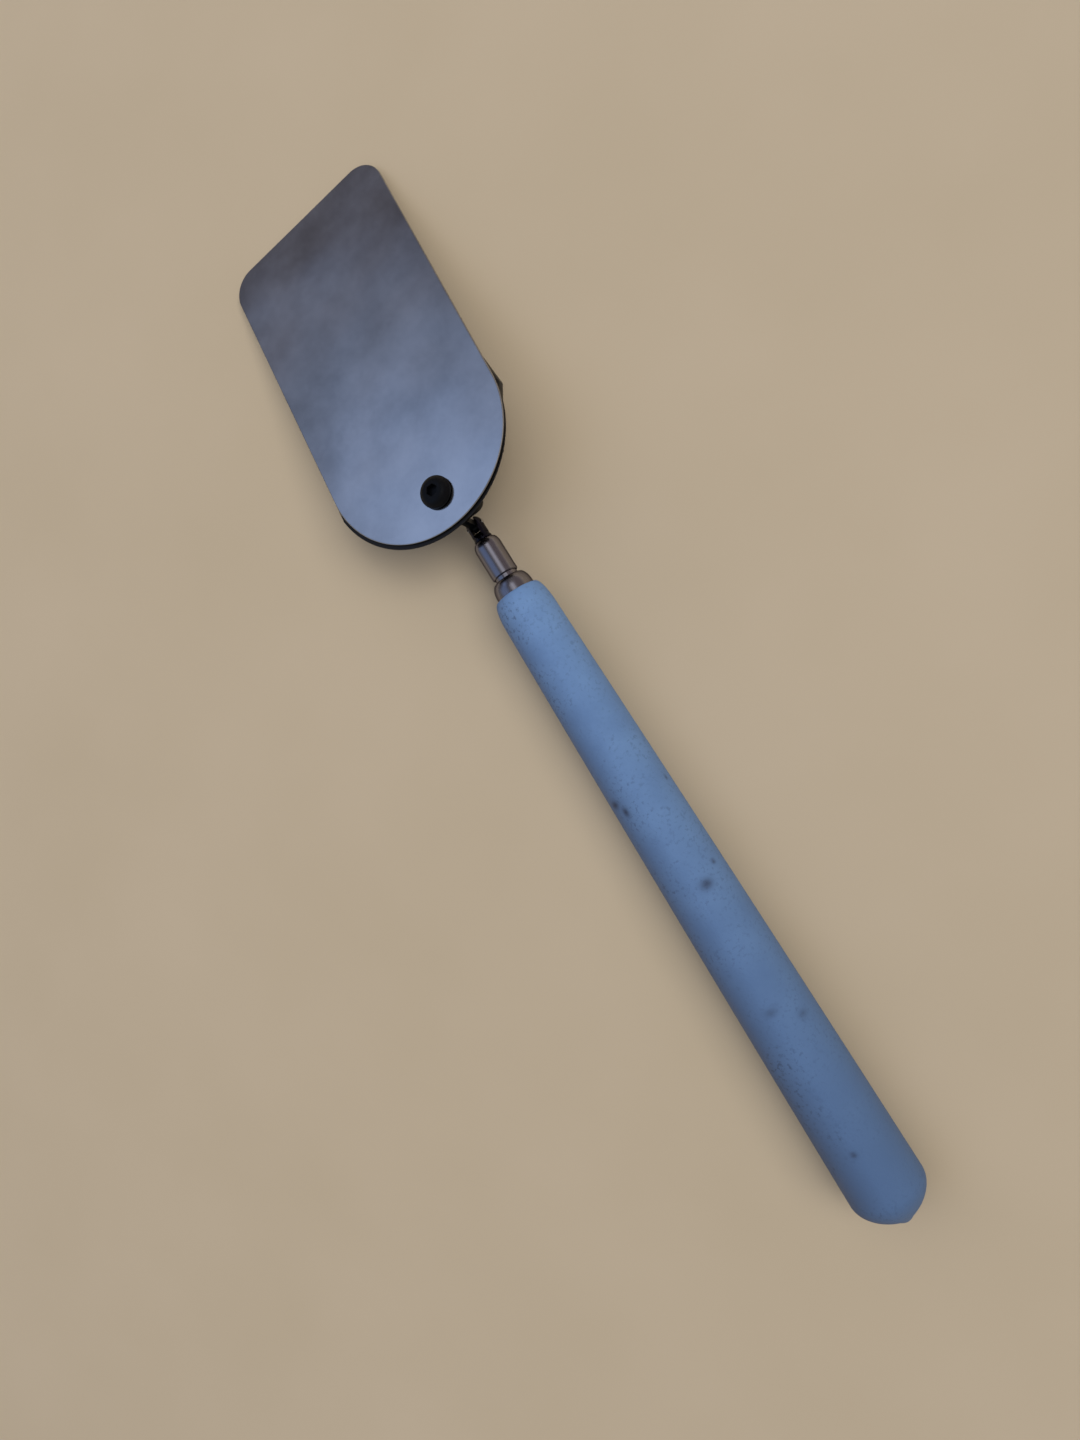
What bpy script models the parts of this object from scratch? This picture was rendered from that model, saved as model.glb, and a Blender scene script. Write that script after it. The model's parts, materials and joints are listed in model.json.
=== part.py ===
"""Telescoping inspection mirror: a dipped handle, two telescoping stages and a tilting, swivelling mirror head.

The tool lies as it does on a bench. The shaft runs along +Y, parallel to the bench, and the tool rests on the butt of
its grip and on the tip of its mirror. Sizes are in metres and +Z is up. The origin is on the bench, midway along.
"""
import math

import bmesh
import bpy
from mathutils import Vector

# Clearances
SEAT_GAP = 0.00025        # between two faces that seat on each other
FIT_GAP = 0.00015         # around a piece pressed or screwed into another
SLIDE_GAP = 0.00025       # around a piece that slides or turns in another
BOTTOM_GAP = 0.0005       # left under each telescoping stage when it is pushed in

# Dipped vinyl grip
GRIP_LENGTH = 0.1620
GRIP_FRONT_RADIUS = 0.0067
GRIP_BUTT_RADIUS = 0.00895
GRIP_RIM_ROUND = 0.0010
GRIP_RIM_INNER_ROUND = 0.0004
BUTT_LENGTH = 0.0098      # length of the rounded butt
BUTT_FULLNESS = 0.88      # 0.5 is an ellipse, 1 a parabola
BUTT_NUB_RADIUS = 0.0020  # drop that the dipping leaves at the very end
GRIP_END_WALL = 0.0120    # vinyl behind the handle tube's plug

# Outer steel tube and the plug that closes it
HANDLE_TUBE_RADIUS = 0.0047
HANDLE_TUBE_WALL = 0.0006
HANDLE_TUBE_SHOWN = 0.0040
HANDLE_MOUTH_ROUND = 0.0015
PLUG_HEAD = 0.0020
PLUG_SHANK = 0.0060
PLUG_CHAMFER = 0.0004

# Middle stage
MIDDLE_TUBE_RADIUS = 0.0028
MIDDLE_TUBE_WALL = 0.0004
FERRULE_RADIUS = 0.00325
FERRULE_LENGTH = 0.0094
FERRULE_STANDOFF = 0.0010  # dark gap between the handle tube's mouth and the ferrule
FERRULE_MOUTH_ROUND = 0.0009
FERRULE_TOP_WALL = 0.0005
FERRULE_EDGE = 0.0002
MIDDLE_FLANGE = 0.0020
MIDDLE_FLANGE_RADIUS = 0.0036
MIDDLE_SHANK = 0.0050
MIDDLE_BUSH_LENGTH = 0.0100
BEAD_HEIGHT = 0.0007
BEAD_WIDTH = 0.0014

# Inner stage
ROD_RADIUS = 0.0017
ROD_NECK_RADIUS = 0.0011
TAIL_RING_LENGTH = 0.0020
INNER_BUSH_LENGTH = 0.0090
BUSH_SPLIT_DEG = 8.0      # angle left open at each of a bush's two splits

# Black stem with its fork
STEM_RADIUS = 0.0021
STEM_LENGTH = 0.0058
STEM_STANDOFF = 0.0006
STEM_GROOVE_AT = 0.0006
STEM_GROOVE_WIDTH = 0.0003
STEM_GROOVE_DEPTH = 0.00018
SPIGOT_RADIUS = 0.0009
SPIGOT_LENGTH = 0.0060
PIN_INSET = 0.0023        # from the stem's end to the hinge pin
PIN_RADIUS = 0.0006
PIN_PROUD = 0.0001

# Knuckle
LUG_THICKNESS = 0.0015
LUG_NECK_HALF = 0.0009
LUG_EYE_RADIUS = 0.0015
LUG_DROP = 0.0058         # from the back of the base to the hinge pin
LUG_ROOT = 0.0008         # how far the lug's root flares out at each side
LUG_ROOT_DROP = 0.0016
BASE_HALF_WIDTH = 0.0068
BASE_THICKNESS = 0.00225
BASE_AHEAD = 0.0060       # of the pivot screw
BASE_BELOW_LUG = 0.0002
BASE_CORNER = 0.0025
BASE_EDGE = 0.0004
SCREW_AHEAD = 0.0054      # from the hinge pin to the pivot screw, along the mirror
LEAN_BACK_DEG = 37.0      # how far the lug leans back from square to the shaft

# Mirror, its backing and the pivot stack
MIRROR_WIDTH = 0.0480
MIRROR_LENGTH = 0.0934
MIRROR_THICKNESS = 0.0008
MIRROR_TIP_CORNER = 0.0065
MIRROR_EDGE = 0.00012
SCREW_INSET = 0.0089      # from the mirror's round end to the pivot screw
BACKING_THICKNESS = 0.0024
BACKING_SHOULDER_PROUD = 0.0003   # how far its shoulders stand out past the mirror's sides
BACKING_SHOULDER_AHEAD = 0.0133   # of the pivot screw
BACKING_FOOT_INSET = 0.0070       # from the mirror's side to the foot of its slanted side
BACKING_FOOT_BELOW = 0.0005       # the pivot screw
BACKING_TOP_INSET = 0.0024        # from the mirror's side to its top corner
BACKING_TOP_AHEAD = 0.0391
BACKING_TAB_HALF = 0.0080
BACKING_TAB_BELOW = 0.0049
BACKING_ROUND = 0.0012
BACKING_TOP_ROUND = 0.0050
BACKING_EDGE = 0.0003
SCREW_RADIUS = 0.00195
SCREW_HEAD_RADIUS = 0.00375
SCREW_HEAD_HEIGHT = 0.0021
SCREW_HEAD_RIM = 0.00035
SCREW_HEAD_FLAT = 0.0019
SCREW_PROUD = 0.00025
SOCKET_FLATS = 0.0025
SOCKET_DEPTH = 0.0013
FRICTION_WASHER_RADIUS = 0.0047
FRICTION_WASHER_THICKNESS = 0.0004
SPRING_WASHER_RADIUS = 0.0040
SPRING_WASHER_THICKNESS = 0.0004
SPRING_WASHER_RISE = 0.0003
NUT_FLATS = 0.0070
NUT_THICKNESS = 0.0022
NUT_CHAMFER = 0.0005

# Facets around each kind of round piece
GRIP_SIDES = 56
TUBE_SIDES = 40
SMALL_SIDES = 32
CORNER_STEPS = 6
MIRROR_END_STEPS = 40

# Places along the shaft, measured from the tip of the butt
plug_bottom = GRIP_END_WALL + SEAT_GAP
plug_top = plug_bottom + PLUG_HEAD + PLUG_SHANK
handle_tube_bottom = plug_bottom + PLUG_HEAD + SEAT_GAP
handle_mouth = GRIP_LENGTH + HANDLE_TUBE_SHOWN
handle_bore = HANDLE_TUBE_RADIUS - HANDLE_TUBE_WALL
middle_bottom = plug_top + BOTTOM_GAP
ferrule_bottom = handle_mouth + FERRULE_STANDOFF
ferrule_top = ferrule_bottom + FERRULE_LENGTH
stem_bottom = ferrule_top + STEM_STANDOFF
stem_top = stem_bottom + STEM_LENGTH
pin_along = stem_top - PIN_INSET

# Places in the middle stage, measured from the underside of its tail plug
middle_tube_bottom = MIDDLE_FLANGE + SEAT_GAP
middle_bush_bottom = middle_tube_bottom
middle_bush_top = middle_bush_bottom + MIDDLE_BUSH_LENGTH
bead_bottom = middle_bush_top + SEAT_GAP
middle_tube_top = ferrule_top - FERRULE_TOP_WALL - SEAT_GAP - middle_bottom
middle_bore = MIDDLE_TUBE_RADIUS - MIDDLE_TUBE_WALL
middle_shank_top = middle_tube_bottom + MIDDLE_SHANK

# Places in the inner stage, measured from the underside of its tail ring
inner_bottom = middle_bottom + middle_shank_top + BOTTOM_GAP
inner_bush_bottom = TAIL_RING_LENGTH + SEAT_GAP
rod_shoulder = inner_bush_bottom + INNER_BUSH_LENGTH + SEAT_GAP
rod_top = stem_bottom - SEAT_GAP - inner_bottom

# Heights in the pivot stack, measured back from the mirror's face
backing_front = MIRROR_THICKNESS + SEAT_GAP
backing_back = backing_front + BACKING_THICKNESS
washer_front = backing_back + SEAT_GAP
washer_back = washer_front + FRICTION_WASHER_THICKNESS
base_front = washer_back + SEAT_GAP
base_back = base_front + BASE_THICKNESS
spring_front = base_back + SEAT_GAP
spring_back = spring_front + SPRING_WASHER_RISE + SPRING_WASHER_THICKNESS
nut_front = spring_back + SEAT_GAP
nut_back = nut_front + NUT_THICKNESS
screw_end = nut_back + SCREW_PROUD
pin_depth = base_back + LUG_DROP
screw_hole = SCREW_RADIUS + SLIDE_GAP

# The head leans until the back edge of the mirror's tip meets the bench that the butt lies on
tip_reach = MIRROR_LENGTH - SCREW_INSET + SCREW_AHEAD
tip_drop = pin_depth - MIRROR_THICKNESS
lean = math.asin(GRIP_BUTT_RADIUS / math.hypot(tip_reach, tip_drop)) + math.atan2(tip_drop, tip_reach)
tool_length = pin_along + tip_reach * math.cos(lean) + pin_depth * math.sin(lean)


def clear_scene():
    for old in list(bpy.data.objects):
        bpy.data.objects.remove(old, do_unlink=True)


def make_material(name, colour, roughness, metallic):
    material = bpy.data.materials.new(name)
    material.use_nodes = True
    shader = material.node_tree.nodes["Principled BSDF"]
    shader.inputs["Base Color"].default_value = (*colour, 1.0)
    shader.inputs["Roughness"].default_value = roughness
    shader.inputs["Metallic"].default_value = metallic
    return material


def make_empty(name, parent=None, location=(0.0, 0.0, 0.0), turn_x=0.0):
    empty = bpy.data.objects.new(name, None)
    bpy.context.scene.collection.objects.link(empty)
    empty.empty_display_size = 0.01
    empty.parent = parent
    empty.location = location
    empty.rotation_euler = (turn_x, 0.0, 0.0)
    return empty


def make_object(name, bm, parent, material, location=(0.0, 0.0, 0.0), sharp_deg=35.0):
    """Close a bmesh into a named object under its parent, with its faces pointing out."""
    bmesh.ops.remove_doubles(bm, verts=bm.verts, dist=2e-7)
    bmesh.ops.recalc_face_normals(bm, faces=bm.faces)
    mesh = bpy.data.meshes.new(name)
    bm.to_mesh(mesh)
    bm.free()
    mesh.shade_smooth()
    mesh.set_sharp_from_angle(angle=math.radians(sharp_deg))
    thing = bpy.data.objects.new(name, mesh)
    bpy.context.scene.collection.objects.link(thing)
    thing.parent = parent
    thing.location = location
    if material is not None:
        mesh.materials.append(material)
    return thing


def make_guide(name, bm, parent, location=(0.0, 0.0, 0.0)):
    """A shape that only cuts or joins another one."""
    guide = make_object(name, bm, parent, None, location)
    guide.hide_render = True
    guide.display_type = "WIRE"
    return guide


def combine(thing, guide, operation):
    step = thing.modifiers.new(guide.name, "BOOLEAN")
    step.operation = operation
    step.solver = "EXACT"
    step.object = guide


def bevel_edges(thing, width, segments=1, angle_deg=40.0):
    step = thing.modifiers.new("edge", "BEVEL")
    step.width = width
    step.segments = segments
    step.limit_method = "ANGLE"
    step.angle_limit = math.radians(angle_deg)


def arc(centre_r, centre_z, radius, start_deg, end_deg, steps):
    """Points on a circular arc of a profile, as (radius, height) pairs."""
    points = []
    for i in range(steps + 1):
        a = math.radians(start_deg + (end_deg - start_deg) * i / steps)
        points.append((centre_r + radius * math.cos(a), centre_z + radius * math.sin(a)))
    return points


def turned(profile, sides, closed=False, sweep_deg=360.0):
    """Turn a profile of (radius, height) pairs about the shaft's axis.

    An open profile runs from the axis to the axis. A closed one is the section of a ring, and a sweep under a full
    turn gives a half shell with flat ends.
    """
    bm = bmesh.new()
    verts = [bm.verts.new((r, 0.0, z)) for r, z in profile]
    full = sweep_deg >= 360.0
    if full:
        count = len(verts) if closed else len(verts) - 1
        geometry = [bm.edges.new((verts[i], verts[(i + 1) % len(verts)])) for i in range(count)]
    else:
        geometry = [bm.faces.new(verts)]
    bmesh.ops.spin(
        bm,
        geom=verts + list(bm.edges) + (geometry if not full else []),
        cent=(0.0, 0.0, 0.0),
        axis=(0.0, 0.0, 1.0),
        angle=math.radians(sweep_deg),
        steps=sides,
        use_duplicate=False,
    )
    return bm


def rounded_outline(corners, steps):
    """Corner points (x, y, radius) in order, returned as an outline with each corner rounded."""
    outline = []
    for i, (x, y, radius) in enumerate(corners):
        here = Vector((x, y))
        back = (Vector(corners[i - 1][:2]) - here).normalized()
        ahead = (Vector(corners[(i + 1) % len(corners)][:2]) - here).normalized()
        if radius <= 0.0:
            outline.append((x, y))
            continue
        half = math.acos(max(-1.0, min(1.0, back.dot(ahead)))) / 2.0
        centre = here + (back + ahead).normalized() * (radius / math.sin(half))
        start = here + back * (radius / math.tan(half)) - centre
        sweep = math.pi - 2.0 * half
        if back.x * ahead.y - back.y * ahead.x > 0.0:
            sweep = -sweep
        a0 = math.atan2(start.y, start.x)
        for k in range(steps + 1):
            a = a0 + sweep * k / steps
            outline.append((centre.x + radius * math.cos(a), centre.y + radius * math.sin(a)))
    return outline


def slab(outline, low, high, plane="XY"):
    """Extrude an outline between two heights. Plane YZ takes the outline as (y, z) and extrudes it along X."""
    bm = bmesh.new()
    if plane == "XY":
        verts = [bm.verts.new((a, b, low)) for a, b in outline]
        move = (0.0, 0.0, high - low)
    else:
        verts = [bm.verts.new((low, a, b)) for a, b in outline]
        move = (high - low, 0.0, 0.0)
    face = bm.faces.new(verts)
    raised = bmesh.ops.extrude_face_region(bm, geom=[face])["geom"]
    top = [v for v in raised if isinstance(v, bmesh.types.BMVert)]
    bmesh.ops.translate(bm, verts=top, vec=move)
    return bm


def rod_shape(radius, low, high, sides, across=False):
    """A plain round bar along Z, or along X when it lies across the shaft."""
    bm = turned([(0.0, low), (radius, low), (radius, high), (0.0, high)], sides)
    if across:
        for vert in bm.verts:
            vert.co = Vector((vert.co.z, vert.co.y, -vert.co.x))
    return bm


def ring(inner, outer, low, high, sides):
    return turned([(inner, low), (outer, low), (outer, high), (inner, high)], sides, closed=True)


def hexagon(flats):
    corner = flats / math.sqrt(3.0)
    return [(corner * math.sin(math.radians(60 * i)), corner * math.cos(math.radians(60 * i))) for i in range(6)]


def mouth_profile(outer, bore, opening, bottom, mouth, outer_round, wall, foot_edge):
    """Section of a tube whose mouth is rolled in to a smaller opening, running up outside and down inside."""
    inner_round = max(outer_round - wall, wall * 0.25)
    points = [(bore, bottom), (outer - foot_edge, bottom)]
    if foot_edge > 0.0:
        points.append((outer, bottom + foot_edge))
    points += arc(outer - outer_round, mouth - outer_round, outer_round, 0.0, 90.0, CORNER_STEPS)
    points += [(opening, mouth), (opening, mouth - wall)]
    points += arc(bore - inner_round, mouth - wall - inner_round, inner_round, 90.0, 0.0, CORNER_STEPS)
    return points


def butt_radius(along):
    """Radius of the dipped butt, at a height over its tip."""
    t = min(along / BUTT_LENGTH, 1.0)
    dome = GRIP_BUTT_RADIUS * (1.0 - (1.0 - t) ** 2) ** BUTT_FULLNESS
    rise = min(along, BUTT_NUB_RADIUS)
    nub = math.sqrt(max(0.0, BUTT_NUB_RADIUS ** 2 - (BUTT_NUB_RADIUS - rise) ** 2))
    return max(dome, nub)


clear_scene()

vinyl = make_material("vinyl", (0.15, 0.26, 0.48), 0.6, 0.0)
tube_steel = make_material("tube_steel", (0.62, 0.62, 0.64), 0.28, 1.0)
plug_nylon = make_material("plug_nylon", (0.05, 0.05, 0.05), 0.5, 0.0)
ferrule_steel = make_material("ferrule_steel", (0.64, 0.64, 0.66), 0.25, 1.0)
brass = make_material("brass", (0.62, 0.47, 0.20), 0.35, 1.0)
bronze = make_material("bronze", (0.50, 0.33, 0.17), 0.4, 1.0)
rod_steel = make_material("rod_steel", (0.60, 0.60, 0.62), 0.25, 1.0)
black_stem = make_material("black_stem", (0.012, 0.012, 0.014), 0.22, 0.4)
black_oxide = make_material("black_oxide", (0.018, 0.018, 0.020), 0.35, 0.6)
backing_black = make_material("backing_black", (0.012, 0.012, 0.013), 0.45, 0.0)
mirror_steel = make_material("mirror_steel", (0.66, 0.67, 0.69), 0.08, 1.0)
spring_steel = make_material("spring_steel", (0.42, 0.42, 0.44), 0.3, 1.0)
fibre = make_material("fibre", (0.10, 0.08, 0.06), 0.7, 0.0)

# The shaft's frame has its Z along the tool and its -Y up
shaft = make_empty("shaft_axis", None, (0.0, -tool_length / 2.0, GRIP_BUTT_RADIUS), -math.pi / 2.0)
middle_axis = make_empty("middle_stage_axis", shaft, (0.0, 0.0, middle_bottom))
inner_axis = make_empty("inner_stage_axis", middle_axis, (0.0, 0.0, inner_bottom - middle_bottom))
mast_axis = make_empty("mast_turn_axis", inner_axis)
tilt_axis = make_empty("head_tilt_axis", mast_axis, (0.0, 0.0, pin_along - inner_bottom), math.pi / 2.0 - lean)
swivel_axis = make_empty("mirror_swivel_axis", tilt_axis, (0.0, SCREW_AHEAD, pin_depth))

# Grip: a dipped cup that closes over the butt and ends in a rounded rim around the tube
grip_bore = HANDLE_TUBE_RADIUS + FIT_GAP
butt_steps = 12
grip = [(0.0, 0.0)]
for i in range(1, butt_steps + 1):
    height = BUTT_LENGTH * (1.0 - math.cos(math.pi / 2.0 * i / butt_steps))
    grip.append((butt_radius(height), height))
grip += arc(GRIP_FRONT_RADIUS - GRIP_RIM_ROUND, GRIP_LENGTH - GRIP_RIM_ROUND, GRIP_RIM_ROUND, 0.0, 90.0, CORNER_STEPS)
grip += arc(grip_bore + GRIP_RIM_INNER_ROUND, GRIP_LENGTH - GRIP_RIM_INNER_ROUND, GRIP_RIM_INNER_ROUND, 90.0, 180.0, 3)
grip += [(grip_bore, GRIP_END_WALL), (0.0, GRIP_END_WALL)]
make_object("vinyl_grip", turned(grip, GRIP_SIDES), shaft, vinyl)

# Handle tube: its mouth is rolled in around the middle tube
handle_profile = mouth_profile(
    HANDLE_TUBE_RADIUS,
    handle_bore,
    MIDDLE_TUBE_RADIUS + SLIDE_GAP,
    handle_tube_bottom,
    handle_mouth,
    HANDLE_MOUTH_ROUND,
    HANDLE_TUBE_WALL,
    0.0,
)
make_object("handle_tube", turned(handle_profile, TUBE_SIDES, closed=True), shaft, tube_steel)

plug_radius = handle_bore - FIT_GAP
plug = [
    (0.0, plug_bottom),
    (HANDLE_TUBE_RADIUS, plug_bottom),
    (HANDLE_TUBE_RADIUS, plug_bottom + PLUG_HEAD),
    (plug_radius, plug_bottom + PLUG_HEAD),
    (plug_radius, plug_top - PLUG_CHAMFER),
    (plug_radius - PLUG_CHAMFER, plug_top),
    (0.0, plug_top),
]
make_object("handle_end_plug", turned(plug, TUBE_SIDES), shaft, plug_nylon)

# Middle stage: a tube with a swaged stop bead, a tail plug, a split friction bush and the ferrule that shows
bead_middle = bead_bottom + BEAD_WIDTH / 2.0
bead_top = bead_bottom + BEAD_WIDTH
middle_profile = [
    (middle_bore, middle_tube_bottom),
    (MIDDLE_TUBE_RADIUS, middle_tube_bottom),
    (MIDDLE_TUBE_RADIUS, bead_bottom),
    (MIDDLE_TUBE_RADIUS + BEAD_HEIGHT * 0.8, bead_bottom + BEAD_WIDTH * 0.2),
    (MIDDLE_TUBE_RADIUS + BEAD_HEIGHT, bead_middle),
    (MIDDLE_TUBE_RADIUS + BEAD_HEIGHT * 0.8, bead_top - BEAD_WIDTH * 0.2),
    (MIDDLE_TUBE_RADIUS, bead_top),
    (MIDDLE_TUBE_RADIUS, middle_tube_top),
    (middle_bore, middle_tube_top),
]
make_object("middle_tube", turned(middle_profile, TUBE_SIDES, closed=True), middle_axis, tube_steel)

middle_shank_radius = middle_bore - FIT_GAP
tail_plug = [
    (0.0, 0.0),
    (MIDDLE_FLANGE_RADIUS, 0.0),
    (MIDDLE_FLANGE_RADIUS, MIDDLE_FLANGE),
    (middle_shank_radius, MIDDLE_FLANGE),
    (middle_shank_radius, middle_shank_top - PLUG_CHAMFER),
    (middle_shank_radius - PLUG_CHAMFER, middle_shank_top),
    (0.0, middle_shank_top),
]
make_object("middle_tail_plug", turned(tail_plug, TUBE_SIDES), middle_axis, brass)


def bush_half(name, inner, outer, bottom, length, parent, upper):
    """Half of a split bush. The shaft's up is -Y, so the upper half is swept through it."""
    section = [(inner, bottom), (outer, bottom), (outer, bottom + length), (inner, bottom + length)]
    bm = turned(section, TUBE_SIDES // 2, closed=True, sweep_deg=180.0 - BUSH_SPLIT_DEG)
    first = math.radians(BUSH_SPLIT_DEG / 2.0) + (math.pi if upper else 0.0)
    for vert in bm.verts:
        x, y = vert.co.x, vert.co.y
        vert.co.x = x * math.cos(first) - y * math.sin(first)
        vert.co.y = x * math.sin(first) + y * math.cos(first)
    make_object(name, bm, parent, bronze)


middle_bush = (MIDDLE_TUBE_RADIUS + FIT_GAP, handle_bore - SLIDE_GAP, middle_bush_bottom, MIDDLE_BUSH_LENGTH)
bush_half("middle_bush_upper", *middle_bush, middle_axis, True)
bush_half("middle_bush_lower", *middle_bush, middle_axis, False)

ferrule_profile = mouth_profile(
    FERRULE_RADIUS,
    MIDDLE_TUBE_RADIUS + FIT_GAP,
    ROD_RADIUS + SLIDE_GAP,
    ferrule_bottom - middle_bottom,
    ferrule_top - middle_bottom,
    FERRULE_MOUTH_ROUND,
    FERRULE_TOP_WALL,
    FERRULE_EDGE,
)
make_object("middle_ferrule", turned(ferrule_profile, TUBE_SIDES, closed=True), middle_axis, ferrule_steel)

# Inner stage: the rod, the split bush that it turns in and the ring that holds the bush
inner_bush = (ROD_NECK_RADIUS + FIT_GAP, middle_bore - SLIDE_GAP, inner_bush_bottom, INNER_BUSH_LENGTH)
bush_half("inner_bush_upper", *inner_bush, inner_axis, True)
bush_half("inner_bush_lower", *inner_bush, inner_axis, False)

spigot_hole = SPIGOT_RADIUS + FIT_GAP
rod_bore_bottom = rod_top - SPIGOT_LENGTH - SEAT_GAP
rod_profile = [
    (0.0, 0.0),
    (ROD_NECK_RADIUS, 0.0),
    (ROD_NECK_RADIUS, rod_shoulder),
    (ROD_RADIUS, rod_shoulder),
    (ROD_RADIUS, rod_top),
    (spigot_hole, rod_top),
    (spigot_hole, rod_bore_bottom),
    (0.0, rod_bore_bottom),
]
make_object("inner_rod", turned(rod_profile, SMALL_SIDES), mast_axis, rod_steel)

tail_ring = ring(ROD_NECK_RADIUS + FIT_GAP, middle_bore - SLIDE_GAP, 0.0, TAIL_RING_LENGTH, SMALL_SIDES)
make_object("inner_tail_ring", tail_ring, mast_axis, brass)

# Stem: a domed black bar on a spigot, slotted into a fork for the knuckle's lug
stem_base = stem_bottom - inner_bottom
stem_tip = stem_base + STEM_LENGTH
pin_height = pin_along - inner_bottom
groove = stem_base + STEM_GROOVE_AT
stem_profile = [
    (0.0, stem_base - SPIGOT_LENGTH),
    (SPIGOT_RADIUS, stem_base - SPIGOT_LENGTH),
    (SPIGOT_RADIUS, stem_base),
    (STEM_RADIUS, stem_base),
    (STEM_RADIUS, groove),
    (STEM_RADIUS - STEM_GROOVE_DEPTH, groove),
    (STEM_RADIUS - STEM_GROOVE_DEPTH, groove + STEM_GROOVE_WIDTH),
    (STEM_RADIUS, groove + STEM_GROOVE_WIDTH),
]
stem_profile += arc(0.0, stem_tip - STEM_RADIUS, STEM_RADIUS, 0.0, 90.0, 9)
stem_profile[-1] = (0.0, stem_tip)
stem = make_object("stem_fork", turned(stem_profile, TUBE_SIDES), mast_axis, black_stem)

# The slot's lower wall is straight. Its upper wall slopes back, so that the lug can lean towards the handle.
slot_half = LUG_THICKNESS / 2.0 + SLIDE_GAP
eye_room = LUG_EYE_RADIUS + SLIDE_GAP
neck_room = LUG_NECK_HALF + SLIDE_GAP
back_lean = math.radians(LEAN_BACK_DEG)
slope_start = (neck_room * math.cos(back_lean), -neck_room * math.sin(back_lean))
slot_reach = 2.0 * STEM_RADIUS
bend_up = slope_start[1] + (eye_room - slope_start[0]) / math.tan(back_lean)
slope_back = slope_start[0] + (slot_reach - slope_start[1]) * math.tan(back_lean)
slot_outline = [
    (slot_reach, pin_height + slot_reach),
    (slot_reach, pin_height - eye_room),
    (-bend_up, pin_height - eye_room),
    (-slot_reach, pin_height - slope_back),
    (-slot_reach, pin_height + slot_reach),
]
slot = make_guide("stem_slot_guide", slab(slot_outline, -slot_half, slot_half, "YZ"), mast_axis)
combine(stem, slot, "DIFFERENCE")
pin_reach = STEM_RADIUS + PIN_PROUD
hole_shape = rod_shape(PIN_RADIUS + FIT_GAP, -2.0 * pin_reach, 2.0 * pin_reach, SMALL_SIDES, across=True)
pin_hole = make_guide("stem_pin_guide", hole_shape, mast_axis, (0.0, 0.0, pin_height))
combine(stem, pin_hole, "DIFFERENCE")

pin_shape = rod_shape(PIN_RADIUS, -pin_reach, pin_reach, SMALL_SIDES, across=True)
make_object("hinge_pin", pin_shape, mast_axis, rod_steel, (0.0, 0.0, pin_height))

# Knuckle: a rounded base behind the mirror with a lug that hangs down to the hinge pin
base_low = -LUG_NECK_HALF - BASE_BELOW_LUG
base_high = SCREW_AHEAD + BASE_AHEAD
base_outline = rounded_outline(
    [
        (-BASE_HALF_WIDTH, base_low, BASE_CORNER),
        (BASE_HALF_WIDTH, base_low, BASE_CORNER),
        (BASE_HALF_WIDTH, base_high, BASE_CORNER),
        (-BASE_HALF_WIDTH, base_high, BASE_CORNER),
    ],
    CORNER_STEPS,
)
knuckle = make_object(
    "tilt_knuckle",
    slab(base_outline, LUG_DROP, LUG_DROP + BASE_THICKNESS),
    tilt_axis,
    black_oxide,
)
bevel_edges(knuckle, BASE_EDGE, segments=2)


def lug_shape():
    """An eye around the pin with a straight neck that runs up into the base."""
    rise = math.asin(LUG_NECK_HALF / LUG_EYE_RADIUS)
    outline = []
    steps = 20
    for i in range(steps + 1):
        a = math.pi / 2.0 - rise - (2.0 * math.pi - 2.0 * rise) * i / steps
        outline.append((LUG_EYE_RADIUS * math.cos(a), LUG_EYE_RADIUS * math.sin(a)))
    root = LUG_DROP + BASE_THICKNESS / 2.0
    outline += [(-LUG_NECK_HALF, root), (LUG_NECK_HALF, root)]
    return slab(outline, -LUG_THICKNESS / 2.0, LUG_THICKNESS / 2.0, "YZ")


def lug_root_shape():
    """The lug's flared root: a foot that widens towards the base."""
    narrow = LUG_THICKNESS / 2.0
    wide = narrow + LUG_ROOT
    top = LUG_DROP + BASE_THICKNESS / 2.0
    bm = slab(
        [
            (-LUG_NECK_HALF + BASE_EDGE, LUG_DROP - LUG_ROOT_DROP),
            (LUG_NECK_HALF - BASE_EDGE, LUG_DROP - LUG_ROOT_DROP),
            (LUG_NECK_HALF - BASE_EDGE, LUG_DROP),
            (LUG_NECK_HALF - BASE_EDGE, top),
            (-LUG_NECK_HALF + BASE_EDGE, top),
            (-LUG_NECK_HALF + BASE_EDGE, LUG_DROP),
        ],
        -wide,
        wide,
        "YZ",
    )
    for vert in bm.verts:
        if vert.co.z < LUG_DROP - LUG_ROOT_DROP / 2.0:
            vert.co.x *= (narrow - BASE_EDGE / 2.0) / wide
    return bm


combine(knuckle, make_guide("lug_guide", lug_shape(), tilt_axis), "UNION")
combine(knuckle, make_guide("lug_root_guide", lug_root_shape(), tilt_axis), "UNION")
eye_hole = rod_shape(PIN_RADIUS + SLIDE_GAP, -2.0 * LUG_THICKNESS, 2.0 * LUG_THICKNESS, SMALL_SIDES, across=True)
combine(knuckle, make_guide("lug_eye_guide", eye_hole, tilt_axis), "DIFFERENCE")
base_hole = rod_shape(screw_hole, LUG_DROP - BASE_THICKNESS, LUG_DROP + 2.0 * BASE_THICKNESS, SMALL_SIDES)
combine(knuckle, make_guide("base_hole_guide", base_hole, tilt_axis, (0.0, SCREW_AHEAD, 0.0)), "DIFFERENCE")

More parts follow.
